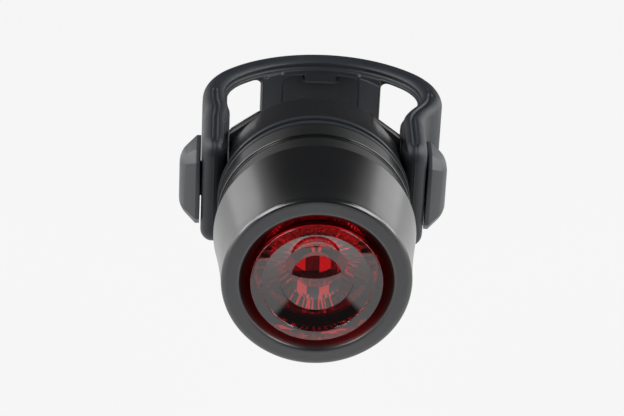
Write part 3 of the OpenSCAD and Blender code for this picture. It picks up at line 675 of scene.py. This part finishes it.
# %% Lens moulding
lens_low, lens_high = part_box("lens")
lens_r, rim_w, rim_step, dish_angle = 8.95, 1.5, 0.25, math.radians(29.4)
dome_r, dome_h, floor_w = 3.45, 0.6, 1.6
flange_r, flange_a, flange_rear = lens_high.x / MM, 3.9, 5.4
cone_base_r, cone_tip_r, cone_tip_a = 8.2, 4.2, (lens_high.y - lens_low.y) / MM
flute_count, flute_depth, well_r, well_depth = 36, 0.35, 2.6, 2.6
foot_round, floor_round, rim_round, edge_round, flange_round = 0.12, 0.15, 0.06, 0.15, 0.1
dish_r, dish_floor_r = lens_r - rim_w, dome_r + floor_w
dish_end = rim_step + (dish_r - dish_floor_r) * math.tan(dish_angle)
cap_r = (dome_r ** 2 + dome_h ** 2) / (2 * dome_h)
well_a = cone_tip_a - well_depth
dome_steps, steps_per_flute = 16, 6


def dome_point(r):
    """The dome's point at a radius, on a round cap."""
    return r, dish_end - dome_h + cap_r - math.sqrt(cap_r ** 2 - r ** 2), 0


dome_line = [dome_point(dome_r * k / dome_steps) for k in range(dome_steps)]
lens_front = fillet(dome_line + [
    (dome_r, dish_end, foot_round), (dish_floor_r, dish_end, floor_round), (dish_r, rim_step, rim_round),
    (dish_r, 0, rim_round), (lens_r, 0, edge_round), (lens_r, flange_a, flange_round),
    (flange_r, flange_a, flange_round), (flange_r, flange_rear, flange_round),
    (cone_base_r, flange_rear, 0)])
lens_rear = [(cone_tip_r, cone_tip_a), (well_r, cone_tip_a), (well_r, well_a), (0, well_a)]
# The zigzag rises to one half, so the cone's base has flutes of the full depth, and its tip of half.
fluted = [0.0] * (len(lens_front) - 1) + [2 * flute_depth, flute_depth, 0, 0, 0]
lens_moulding = run_tree("lens_moulding", profile_mesh(lens_front + lens_rear, fluted), turning,
                         Segments=steps_per_flute * flute_count, Flutes=flute_count, Material=lens_red)
smooth_mesh(lens_moulding.data)
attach(lens_moulding, "lens")
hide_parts("lens")
print("lens:", len(lens_moulding.data.polygons), "faces,", flute_count, "flutes")

# %% [markdown]
# ## The base
# The base is moulded plastic with two fine rings, a hook on each side and a saddle for the post.
# Its CAD solid already has the right shape, but moulded edges are never sharp. A copy of the solid
# is welded and its edges get a small bevel, which shows as a soft line of light. The outer faces of
# the hooks, which fingers pull the strap over, are rounded more.

# %% Base moulding
weld_distance = 0.002 * MM
flat_angle = math.radians(0.5)
side_depth = 0.02 * MM


def rounded_copy(name, node, width, soft_width, material, angle=32):
    """A copy of a CAD solid with its sharp edges bevelled, and those of its outer side faces more so."""
    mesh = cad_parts[node].data.copy()
    made = bmesh.new()
    made.from_mesh(mesh)
    bmesh.ops.remove_doubles(made, verts=made.verts, dist=weld_distance)
    bmesh.ops.dissolve_degenerate(made, edges=made.edges, dist=weld_distance)
    bmesh.ops.dissolve_limit(made, angle_limit=flat_angle, verts=made.verts, edges=made.edges)
    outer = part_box(node)[1].x - side_depth
    rims = [e for e in made.edges if all(abs(v.co.x) > outer for v in e.verts)]
    bmesh.ops.bevel(made, geom=rims, offset=soft_width, segments=4, profile=0.5, affect="EDGES")
    made.to_mesh(mesh)
    made.free()
    mesh.materials.clear()
    mesh.materials.append(material)
    piece = bpy.data.objects.new(name, mesh)
    bpy.context.scene.collection.objects.link(piece)
    bevel = piece.modifiers.new("edges", "BEVEL")
    bevel.width = width
    bevel.segments = 2
    bevel.limit_method = "ANGLE"
    bevel.angle_limit = math.radians(angle)
    graph = bpy.context.evaluated_depsgraph_get()
    piece.data = bpy.data.meshes.new_from_object(piece.evaluated_get(graph))
    piece.modifiers.clear()
    return piece


base_moulding = rounded_copy("base_moulding", "base_body", width=0.12 * MM, soft_width=1.2 * MM,
                             material=base_plastic)
smooth_mesh(base_moulding.data, sharp=30)
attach(base_moulding, "base")
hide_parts("base_body")
print("base:", len(base_moulding.data.polygons), "faces")

# %% [markdown]
# ## The screw thread
# The head screws on to the base's spigot. The thread is one ridge that winds round the spigot, so
# a Geometry Nodes tree sweeps a small section along a spiral and thins it out at both ends.
# It shows only when the head is unscrewed, and it fits in the gap between spigot and head. Unlike a
# real thread it isn't cut where the tray's key runs in a slot of the spigot.

# %% Thread
ridge_run_out, ridge_tip = 0.06, 0.15


def thread_tree():
    """A Geometry Nodes tree for a ridge that winds round the Y axis."""
    tree, start, end = new_tree("thread_ridge", Geometry="Geometry", Radius="Float", Pitch="Float",
                                Turns="Float", Ridge="Float", Start="Float", Material="Material")
    radius, turns = start.outputs["Radius"], start.outputs["Turns"]
    height = math_node(tree, "MULTIPLY")
    spiral = add_node(tree, "GeometryNodeCurveSpiral", sockets={"Resolution": 96})
    turned = add_node(tree, "GeometryNodeTransform", sockets={"Rotation": (-math.pi / 2, 0, 0)})
    place = add_node(tree, "ShaderNodeCombineXYZ")
    along = add_node(tree, "GeometryNodeSplineParameter")
    middle = math_node(tree, "PINGPONG", 0.5)
    taper = add_node(tree, "ShaderNodeMapRange", sockets={"From Max": ridge_run_out, "To Min": ridge_tip})
    thinned = add_node(tree, "GeometryNodeSetCurveRadius")
    section = add_node(tree, "GeometryNodeCurvePrimitiveCircle", sockets={"Resolution": 6})
    swept = add_node(tree, "GeometryNodeCurveToMesh", sockets={"Fill Caps": True})
    real = add_node(tree, "GeometryNodeRealizeInstances")
    dressed = add_node(tree, "GeometryNodeSetMaterial")
    chain(tree, start.outputs["Pitch"], height.inputs[0], turns, height.inputs[1],
          turns, spiral.inputs["Rotations"], radius, spiral.inputs["Start Radius"],
          radius, spiral.inputs["End Radius"], height.outputs[0], spiral.inputs["Height"],
          spiral.outputs[0], turned.inputs["Geometry"], start.outputs["Start"], place.inputs["Y"],
          place.outputs[0], turned.inputs["Translation"], turned.outputs[0], thinned.inputs["Curve"])
    chain(tree, along.outputs["Factor"], middle.inputs[0], middle.outputs[0], taper.inputs["Value"],
          taper.outputs["Result"], thinned.inputs["Radius"],
          start.outputs["Ridge"], section.inputs["Radius"],
          thinned.outputs[0], swept.inputs["Curve"], section.outputs[0], swept.inputs["Profile Curve"],
          swept.outputs[0], real.inputs[0], real.outputs[0], dressed.inputs["Geometry"],
          start.outputs["Material"], dressed.inputs["Material"], dressed.outputs[0], end.inputs["Geometry"])
    return tree


spigot_r, thread_pitch, thread_turns, thread_start, ridge_r = 12.2, 1.25, 3.6, 0.5, 0.2
thread = run_tree("spigot_thread", bpy.data.meshes.new("empty"), thread_tree(),
                  Radius=spigot_r * MM, Pitch=thread_pitch * MM, Turns=thread_turns, Ridge=ridge_r * MM,
                  Start=cad_low.y + (spigot_a + thread_start) * MM, Material=base_plastic)
smooth_mesh(thread.data, sharp=60)
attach(thread, "base")
print("thread:", len(thread.data.polygons), "faces,", thread_turns, "turns of", thread_pitch, "mm")

# %% [markdown]
# ## The strap
# The strap is one soft silicone moulding: a band with fully round edges, two windows, an eyelet at each
# end, and a middle pad with two ribs and a pocket. A fine crease runs beside each edge on its inner
# side, and a shallow groove along the edges of the arms fades out where the windows begin. Rubber has
# no sharp edge anywhere, and a form where everything runs into everything else is easiest as a
# distance field: a formula gives the distance of any point to the surface, and smooth maximum and
# minimum blend the parts. In use such a strap hangs a little to one side, so the field is read
# through a gentle sideways lean.

# %% Distance fields
def smooth_max(a, b, k):
    """The larger of two distances, rounded over a width k where they meet."""
    h = np.maximum(k - np.abs(a - b), 0) / k
    return np.maximum(a, b) + h * h * k / 4


def smooth_min(a, b, k):
    """The smaller of two distances, rounded over a width k where they meet."""
    return -smooth_max(-a, -b, k)


def round_box(x, y, half_x, half_y, r):
    """Distance to a rectangle with rounded corners, in a plane."""
    dx, dy = np.abs(x) - half_x + r, np.abs(y) - half_y + r
    return np.hypot(np.maximum(dx, 0), np.maximum(dy, 0)) + np.minimum(np.maximum(dx, dy), 0) - r


def smooth_step(t):
    """Rises from 0 to 1 as t does, with a level start and end."""
    t = np.clip(t, 0, 1)
    return t * t * (3 - 2 * t)


def along_line(x, y, line):
    """Signed distance to a line in the plane, positive on its right, and the length along it."""
    best, side, length = np.full(x.shape, 1e9), np.ones(x.shape), np.zeros(x.shape)
    done = 0.0
    for (x0, y0), (x1, y1) in zip(line[:-1], line[1:]):
        step = math.hypot(x1 - x0, y1 - y0)
        ux, uy = (x1 - x0) / step, (y1 - y0) / step
        t = np.clip((x - x0) * ux + (y - y0) * uy, 0, step)
        dx, dy = x - x0 - t * ux, y - y0 - t * uy
        away = dx * dx + dy * dy
        near = away < best
        best = np.where(near, away, best)
        side = np.where(near, np.sign(dx * uy - dy * ux), side)
        length = np.where(near, done + t, length)
        done += step
    return np.sqrt(best) * side, length, done


print("distance fields ready")

# %% [markdown]
# A field becomes a mesh on a grid of small cells. Each cell that the surface passes through gets one
# point, in the middle of the places where the surface cuts the cell's edges, and each grid edge that
# the surface cuts joins the four cells round it in a face. The points are then moved on to the
# surface along the field's slope. That slope is also the normal, which shades the mesh smoothly.

# %% From a field to a mesh
def surface_net(field, low, cell):
    """Points and four-sided faces of the surface where a field on a grid is zero."""
    inside = field < 0
    corners = [(i, j, k) for i in (0, 1) for j in (0, 1) for k in (0, 1)]
    nx, ny, nz = (n - 1 for n in field.shape)
    view = {c: inside[c[0]:c[0] + nx, c[1]:c[1] + ny, c[2]:c[2] + nz] for c in corners}
    total = sum(view[c].astype(np.int8) for c in corners)
    cells = np.argwhere((total > 0) & (total < len(corners)))
    place = np.zeros((len(cells), 3))
    count = np.zeros(len(cells))
    for a in corners:
        for axis in range(3):
            if a[axis] == 1:
                continue
            b = tuple(a[i] + (i == axis) for i in range(3))
            fa, fb = field[tuple((cells + a).T)], field[tuple((cells + b).T)]
            cross = (fa < 0) != (fb < 0)
            t = np.where(cross, fa / np.where(cross, fa - fb, 1), 0)
            offset = np.tile(np.array(a, float), (len(cells), 1))
            offset[:, axis] += t
            place += offset * cross[:, None]
            count += cross
    points = (cells + place / count[:, None]) * cell + low
    number = np.full((nx, ny, nz), -1, np.int64)
    number[tuple(cells.T)] = np.arange(len(cells))
    faces = []
    for axis in range(3):
        u, v = (axis + 1) % 3, (axis + 2) % 3
        first = np.moveaxis(inside, (axis, u, v), (0, 1, 2))
        change = first[:-1, 1:-1, 1:-1] != first[1:, 1:-1, 1:-1]
        spots = np.argwhere(change)
        ids = np.moveaxis(number, (axis, u, v), (0, 1, 2))
        i, j, k = spots[:, 0], spots[:, 1] + 1, spots[:, 2] + 1
        quad = np.stack([ids[i, j - 1, k - 1], ids[i, j, k - 1], ids[i, j, k], ids[i, j - 1, k]], 1)
        flip = ~first[i, j, k]
        quad[flip] = quad[flip][:, ::-1]
        faces.append(quad)
    return points, np.concatenate(faces)


def field_mesh(name, field, low, high, cell):
    """Meshes a field over a box, in mm, and shades it by the field's own slope."""
    axes = [np.arange(a - 2 * cell, b + 3 * cell, cell) for a, b in zip(low, high)]
    grid = np.meshgrid(*axes, indexing="ij")
    points, faces = surface_net(field(*grid), np.array([a[0] for a in axes]), cell)
    tiny = 0.02
    slope = np.stack([field(*(points + tiny * e).T) - field(*(points - tiny * e).T) for e in np.eye(3)], 1)
    points -= slope * (field(*points.T) / (np.linalg.norm(slope, axis=1) ** 2 / (2 * tiny)))[:, None]
    slope /= np.linalg.norm(slope, axis=1)[:, None]
    mesh = bpy.data.meshes.new(name)
    mesh.from_pydata(points * MM, [], faces.tolist())
    mesh.shade_smooth()
    mesh.normals_split_custom_set_from_vertices(slope)
    piece = bpy.data.objects.new(name, mesh)
    bpy.context.scene.collection.objects.link(piece)
    return piece, points


print("meshing of fields ready")

# %% The strap's middle line
strap_low, strap_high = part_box("strap")
strap_t, strap_h = 3.6, (strap_high.z - strap_low.z) / MM
tab_front_y = strap_low.y / MM
back_mid = strap_high.y / MM - strap_t / 2
stem_y, stem_r, slot_len = -10.8, 2.55, 3.0
arm_x, spread_r, corner_r = 14.2, 9.0, 9.5
spread_deg, corner_deg = 24, 45
spread_steps, corner_steps, back_steps = 9, 24, 20
arm_spread, corner_turn = math.radians(spread_deg), math.radians(corner_deg)
bend_x = arm_x + spread_r * (1 - math.cos(arm_spread))
corner_x = bend_x - corner_r * math.cos(arm_spread)
back_r = corner_r + corner_x / math.cos(corner_turn)
back_y = back_mid - back_r
corner_y = back_y + (back_r - corner_r) * math.sin(corner_turn)
arm_end_y = corner_y - (corner_r + spread_r) * math.sin(arm_spread)


def arc(cx, cy, r, start, stop, steps):
    """Points on a circle between two angles, in degrees from +X towards +Y."""
    angles = np.radians(np.linspace(start, stop, steps))
    return [(cx + r * math.cos(a), cy + r * math.sin(a)) for a in angles]


right_half = ([(arm_x, tab_front_y), (arm_x, arm_end_y)]
              + arc(arm_x + spread_r, arm_end_y, spread_r, 180, 180 - spread_deg, spread_steps)[1:]
              + arc(corner_x, corner_y, corner_r, -spread_deg, corner_deg, corner_steps)[1:]
              + arc(0, back_y, back_r, corner_deg, 90, back_steps)[1:])
middle_line = right_half + [(-x, y) for x, y in reversed(right_half[:-1])]
print("middle line of", len(middle_line), "points, corners at", round(corner_x + corner_r, 2), "mm")

# %% The strap's field
rail_h, window_x, window_y, window_round = 2.1, 9.0, corner_y, 1.2
crease_drop, crease_r = 1.05, 0.36
arm_groove_r, arm_groove_y, arm_groove_fade = 0.4, corner_y, 0.3
rib_gap, rib_w, post_r = 11.4, 3.1, 11.1
pocket_depth, pocket_edge, tongue_w, tongue_len = 0.8, 0.3, 5.0, 1.3
strap_lean, lean_y = 1.4, -7.5
end_round, rib_round, pocket_round, tongue_round = 0.8, 0.3, 0.9, 0.5
rib_soft, window_soft, hole_soft = 0.5, 0.6, 0.35
crease_soft, arm_groove_soft, pocket_soft = 0.3, 0.2, 0.3
past_strap = 20  # half the length of a window's cutter, which ends well outside the strap
half_t, half_h = strap_t / 2, strap_h / 2
window_half = half_h - rail_h
stem_s = stem_y - tab_front_y


def strap_place(x, y):
    """Undoes the strap's lean, and gives x, the distance from the middle line and that along it."""
    x = x - strap_lean * smooth_step((y - lean_y) / (window_y - lean_y))
    n, s, whole = along_line(x, y, middle_line)
    return x, n, s, whole


def strap_field(x, y, z):
    """Distance to the strap's surface, in mm."""
    from_post = np.hypot(x, y)
    x, n, s, whole = strap_place(x, y)
    from_end = np.minimum(s, whole - s)
    plate = round_box(s - whole / 2, z, whole / 2 - half_t, half_h - half_t, end_round)
    d = np.hypot(np.maximum(plate, 0), n) - half_t
    rib = round_box(np.abs(x) - (rib_gap + rib_w) / 2, z, rib_w / 2, half_h - half_t, rib_round)
    rib = np.maximum(np.maximum(rib, n), post_r - np.minimum(np.hypot(x, y), from_post))
    d = smooth_min(d, np.maximum(rib, -y), rib_soft)
    sideways = round_box(np.abs(x) - window_x - past_strap, z, past_strap, window_half, window_round)
    backward = round_box(y - window_y - past_strap, z, past_strap, window_half, window_round)
    d = smooth_max(d, -np.maximum(sideways, backward), window_soft)
    eyelet = np.hypot(np.maximum(np.abs(from_end - stem_s - slot_len / 2) - slot_len / 2, 0), z) - stem_r
    d = smooth_max(d, -eyelet, hole_soft)
    crease_z = half_h - crease_drop
    crease_n = -math.sqrt(half_t ** 2 - (crease_z - half_h + half_t) ** 2)
    d = smooth_max(d, crease_r - np.hypot(n - crease_n, np.abs(z) - crease_z), crease_soft)
    arm_r = np.clip(arm_groove_r - arm_groove_fade * (y - arm_groove_y), 0, arm_groove_r)
    d = smooth_max(d, arm_r - np.hypot(n, np.abs(z) - half_h), arm_groove_soft)
    pocket = round_box(x, z, rib_gap / 2, window_half - pocket_edge, pocket_round)
    tongue = round_box(x, np.abs(z) - window_half + pocket_edge, tongue_w / 2, tongue_len, tongue_round)
    pocket = smooth_max(np.maximum(pocket, -tongue), n + half_t - pocket_depth, pocket_soft)
    return smooth_max(d, -np.maximum(pocket, -y), pocket_soft)


field_cell = 0.25
strap_box = ((cad_low.x / MM, tab_front_y, -half_h), (cad_high.x / MM, strap_high.y / MM, half_h))
strap_band, strap_points = field_mesh("strap_band", strap_field, *strap_box, field_cell)
strap_band.data.materials.append(strap_rubber)
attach(strap_band, "strap")
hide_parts("strap")
print("strap:", len(strap_band.data.polygons), "faces, from",
      np.round(strap_points.min(0), 2), "to", np.round(strap_points.max(0), 2))

# %% [markdown]
# The two halves of the strap's mould meet along the middle of its round edges and leave a fine
# raised line there. Each point keeps its distance from the middle of the band as an attribute,
# and a second bump in the silicone's shader raises the line where that distance is small.

# %% Mould line
mould_line_w, mould_line_h = 0.14, 0.03
across = strap_place(strap_points[:, 0], strap_points[:, 1])[1]
stored = strap_band.data.attributes.new("across", "FLOAT", "POINT")
stored.data.foreach_set("value", across.astype(np.float32))

tree = strap_rubber.node_tree
shader = tree.nodes["Principled BSDF"]
grain_normal = shader.inputs["Normal"].links[0].from_socket
place = add_node(tree, "ShaderNodeAttribute", attribute_name="across")
away = math_node(tree, "ABSOLUTE")
ridge = add_node(tree, "ShaderNodeMapRange", interpolation_type="SMOOTHSTEP",
                 sockets={"From Max": mould_line_w, "To Min": 1, "To Max": 0})
raised = add_node(tree, "ShaderNodeBump", sockets={"Strength": 1, "Distance": mould_line_h * MM})
chain(tree, place.outputs["Fac"], away.inputs[0], away.outputs[0], ridge.inputs["Value"],
      ridge.outputs["Result"], raised.inputs["Height"], grain_normal, raised.inputs["Normal"],
      raised.outputs[0], shader.inputs["Normal"])
print("mould line stored on", len(across), "points")

# %% [markdown]
# ## The saddle pad
# A thin rubber pad lines the saddle, so that the base grips a painted post without marking it. Such
# pads have fine level grooves on the side that touches the post. It is made as a field too: a
# curved slab with round edges, less the grooves, with the two pegs that hold it in the base.

# %% Saddle pad
pad_low, pad_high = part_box("saddle_pad")
pad_t, pad_h, peg_r = 1.0, (pad_high.z - pad_low.z) / MM, 1.0
groove_r, groove_step, groove_soft = 0.3, 1.5, 0.15
pad_edge, peg_soft, pad_cell = 0.25, 0.1, 0.2


def pad_field(x, y, z):
    """Distance to the saddle pad's surface, in mm."""
    r = np.hypot(x, y)
    d = round_box(r - post_r - pad_t / 2, z, pad_t / 2, pad_h / 2, pad_edge)
    d = smooth_max(d, y - pad_high.y / MM, 2 * pad_edge)
    level = (z / groove_step) % 1 - 0.5
    d = smooth_max(d, groove_r - np.hypot(r - post_r, level * groove_step), groove_soft)
    peg = np.maximum(np.hypot(x, np.abs(z) - pad_h / 4) - peg_r, y + post_r + pad_t / 2)
    return smooth_min(d, np.maximum(peg, pad_low.y / MM - y), peg_soft)


pad_box = (np.array(pad_low) / MM, np.array(pad_high) / MM)
post_pad = field_mesh("post_pad", pad_field, *pad_box, pad_cell)[0]
post_pad.data.materials.append(pad_rubber)
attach(post_pad, "base")
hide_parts("saddle_pad")
print("pad:", len(post_pad.data.polygons), "faces")

# %% [markdown]
# ## Pieces inside, and the seals
# What the head hides still belongs to the light: the board with its LED, chips and screws, the
# cells, the contacts and the spring. Their solids have the right shape, so each gets its own finish.

# %% Finishes of the inner pieces
board_white = (0.9, 0.9, 0.88)
white_mask = weathered("white_solder_mask", board_white, grain=0.08 * MM, depth=0.002 * MM,
                       rough=(0.3, 0.4))
black_plastic = weathered("inner_black_plastic", (0.04, 0.04, 0.042), grain=0.1 * MM, depth=0.005 * MM,
                          rough=(0.4, 0.55))
ivory_plastic = weathered("plunger_plastic", (0.75, 0.73, 0.68), grain=0.1 * MM, depth=0.003 * MM,
                          rough=(0.4, 0.5))
led_white = weathered("led_white", (0.88, 0.86, 0.8), grain=0.1 * MM, depth=0.002 * MM, rough=(0.35, 0.45))
led_resin = weathered("led_resin", (0.9, 0.7, 0.2), grain=0.2 * MM, depth=0.0005 * MM, rough=(0.05, 0.1),
                      IOR=1.5)
chip_black = weathered("chip_black", (0.02, 0.02, 0.022), grain=0.05 * MM, depth=0.003 * MM,
                       rough=(0.45, 0.6))
chip_tan = weathered("chip_tan", (0.3, 0.24, 0.17), grain=0.05 * MM, depth=0.002 * MM, rough=(0.4, 0.5))
steel = weathered("plated_steel", (0.6, 0.6, 0.62), grain=0.08 * MM, depth=0.001 * MM, rough=(0.25, 0.35),
                  Metallic=1.0)
cell_steel = weathered("cell_steel", (0.68, 0.69, 0.71), grain=0.15 * MM, depth=0.001 * MM,
                       rough=(0.2, 0.3), Metallic=1.0)
brass = weathered("plated_brass", (0.75, 0.62, 0.35), grain=0.1 * MM, depth=0.001 * MM, rough=(0.25, 0.4),
                  Metallic=1.0)
print("metals inside:", [metal.name for metal in (steel, cell_steel, brass)])

# %% [markdown]
# ## What shows through the dome
# In the photo the dome holds two bright red patches with a dark bar between them. What makes them isn't
# known, so the pattern is made up to look alike: the board has a round dark field with two white
# strips, which the dome magnifies. The light that comes in through the lens leaves them darker than
# in the photo, so they also glow a little, and would still show in a dark scene. Outside the field
# the board stays white.

# %% The board's field and strips
field_zone = (8.4 * MM, 8.6 * MM)
strip_x, strip_half, strip_edge = 0.88 * MM, 0.36 * MM, 0.42 * MM
strip_glow = 0.45
black = (0, 0, 0, 1)

tree = white_mask.node_tree
where = add_node(tree, "ShaderNodeTexCoord")
parts = add_node(tree, "ShaderNodeSeparateXYZ")
side = math_node(tree, "ABSOLUTE")
offset = math_node(tree, "SUBTRACT", strip_x)
apart = math_node(tree, "ABSOLUTE")
between = add_node(tree, "ShaderNodeMapRange", sockets={"From Min": strip_half, "From Max": strip_edge})
dark = math_node(tree, "MULTIPLY")
glow = add_node(tree, "ShaderNodeMix", data_type="RGBA", sockets={6: (*board_white, 1), 7: black})
shader = tree.nodes["Principled BSDF"]
shader.inputs["Emission Strength"].default_value = strip_glow
chain(tree, where.outputs["Object"], parts.inputs[0], parts.outputs["X"], side.inputs[0],
      side.outputs[0], offset.inputs[0], offset.outputs[0], apart.inputs[0],
      apart.outputs[0], between.inputs["Value"], between.outputs["Result"], dark.inputs[0],
      radius_mask(tree, *field_zone), dark.inputs[1], between.outputs["Result"], glow.inputs[0],
      glow.outputs[2], shader.inputs["Emission Color"])
dress_zone(white_mask, dark.outputs[0], (0.012, 0.012, 0.013), rough=0.4)
print("strips of", round((strip_half + strip_edge) / MM, 2), "mm on the board")

# %% Each inner piece gets its finish
finishes = {
    "lens_seal": seal_rubber, "o_ring": seal_rubber,
    "lens_holder": black_plastic, "switch_bodies": black_plastic, "battery_tray": black_plastic,
    "switch_plungers": ivory_plastic, "led_board": white_mask, "led_package": led_white,
    "led_dome": led_resin, "driver_chip": chip_black, "board_chips": chip_tan, "board_screws": steel,
    "return_spring": steel, "cell_front": cell_steel, "cell_rear": cell_steel,
    "front_contact": brass, "rear_contact": brass,
}
for node, finish in finishes.items():
    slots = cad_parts[node].data.materials
    slots.clear()
    slots.append(finish)
print("finished", len(finishes), "inner pieces")
